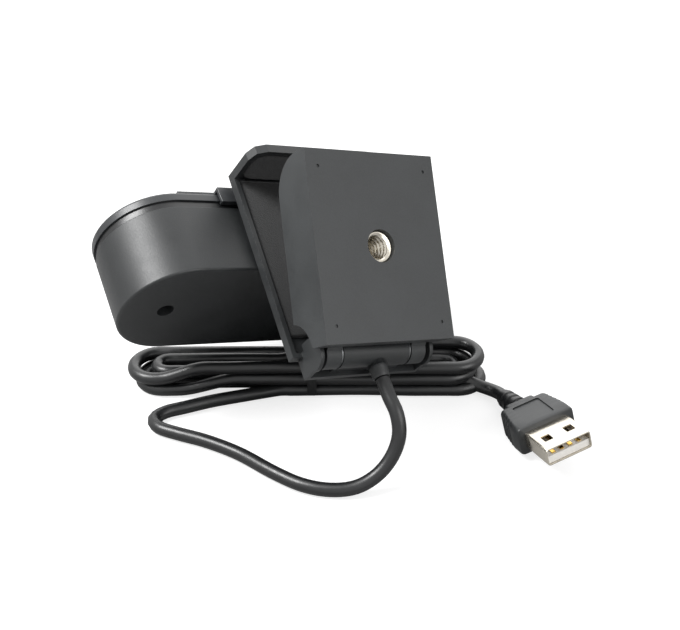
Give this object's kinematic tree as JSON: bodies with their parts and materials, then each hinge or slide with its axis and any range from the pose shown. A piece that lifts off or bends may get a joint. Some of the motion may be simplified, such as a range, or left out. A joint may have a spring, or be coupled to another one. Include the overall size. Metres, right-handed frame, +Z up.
{
  "type": "clip-on webcam",
  "caption": "Wide round-ended webcam with a folding clip, padded lip, tripod-threaded foot, sliding privacy shutter and a tied USB lead.",
  "frame": {"origin": "on the table, under the middle of the webcam's own box, the lead and its plug not counted", "axes": "+Z up, +X along the length of the head as it lies, +Y toward the lens side"},
  "size_m": [0.1204, 0.0934, 0.0731],
  "materials": {
    "housing_plastic": "moulded ABS, fine spark texture",
    "band_plastic": "moulded ABS, dark, satin",
    "cover_plastic": "moulded ABS, satin",
    "clip_plastic": "moulded ABS, fine spark texture",
    "foot_plastic": "moulded ABS, fine spark texture",
    "foam_pad": "closed-cell foam with a felted skin",
    "grip_rubber": "soft moulded rubber",
    "ring_metal": "turned, anodised dark grey",
    "window_clear": "polished acrylic",
    "lens_coated": "polished, coated",
    "inner_black": "moulded, flat black",
    "circuit_board": "glass-fibre board with solder mask",
    "sensor_chip": "ceramic package",
    "microphone_metal": "stamped cans",
    "light_pipe": "clear moulded acrylic",
    "screw_steel": "zinc-plated steel",
    "pin_steel": "ground steel",
    "washer_steel": "spring steel",
    "insert_nickel": "nickel-plated brass, threaded",
    "lead_pvc": "extruded PVC sheath, soft sheen",
    "tie_plastic": "paper and wire twist strip, coated",
    "plug_plastic": "overmoulded PVC, satin",
    "shell_nickel": "nickel-plated steel",
    "insulator_white": "moulded white thermoplastic",
    "contact_gold": "gold-plated"
  },
  "bodies": {
    "clip": {"clip_plate": "clip_plastic", "neck_lug": "clip_plastic", "neck_screws": "screw_steel", "plate_pad": "foam_pad", "lip_pad": "foam_pad", "hinge_pins": "pin_steel", "friction_washers": "washer_steel", "cable_gland": "lead_pvc", "cable_front": "lead_pvc", "cable_hank": "lead_pvc", "cable_tie": "tie_plastic", "cable_tail": "lead_pvc", "plug_boot": "lead_pvc", "plug_body": "plug_plastic", "plug_shell": "shell_nickel", "plug_insert": "insulator_white", "plug_contacts": "contact_gold"},
    "foot": {"foot_shell": "foot_plastic", "foot_cover": "foot_plastic", "foot_grip": "grip_rubber", "foot_screws": "screw_steel", "thread_insert": "insert_nickel"},
    "head": {"rear_housing": "housing_plastic", "front_frame": "band_plastic", "front_cover": "cover_plastic", "lens_ring": "ring_metal", "lens_window": "window_clear", "lens_barrel": "inner_black", "lens_glass": "lens_coated", "lens_holder": "inner_black", "main_board": "circuit_board", "image_sensor": "sensor_chip", "microphones": "microphone_metal", "light_pipes": "light_pipe", "housing_screws": "screw_steel", "tilt_pin": "pin_steel"},
    "shutter": {"privacy_shutter": "cover_plastic"}
  },
  "joints": [
    {"name": "foot_hinge", "type": "hinge", "parent": "clip", "child": "foot", "pos_m": [0.0224, -0.0285, 0.0268], "axis": [0.8107, 0.5165, -0.2756], "range_deg": [-18, 50]},
    {"name": "head_tilt", "type": "hinge", "parent": "clip", "child": "head", "pos_m": [0.00402, 0.00498, 0.03546], "axis": [0.8107, 0.5165, -0.2756], "range_deg": [0, 6]},
    {"name": "shutter_slide", "type": "slide", "parent": "head", "child": "shutter", "axis": [0.8107, 0.5165, -0.2756], "range_m": [0, 0.021]}
  ]
}
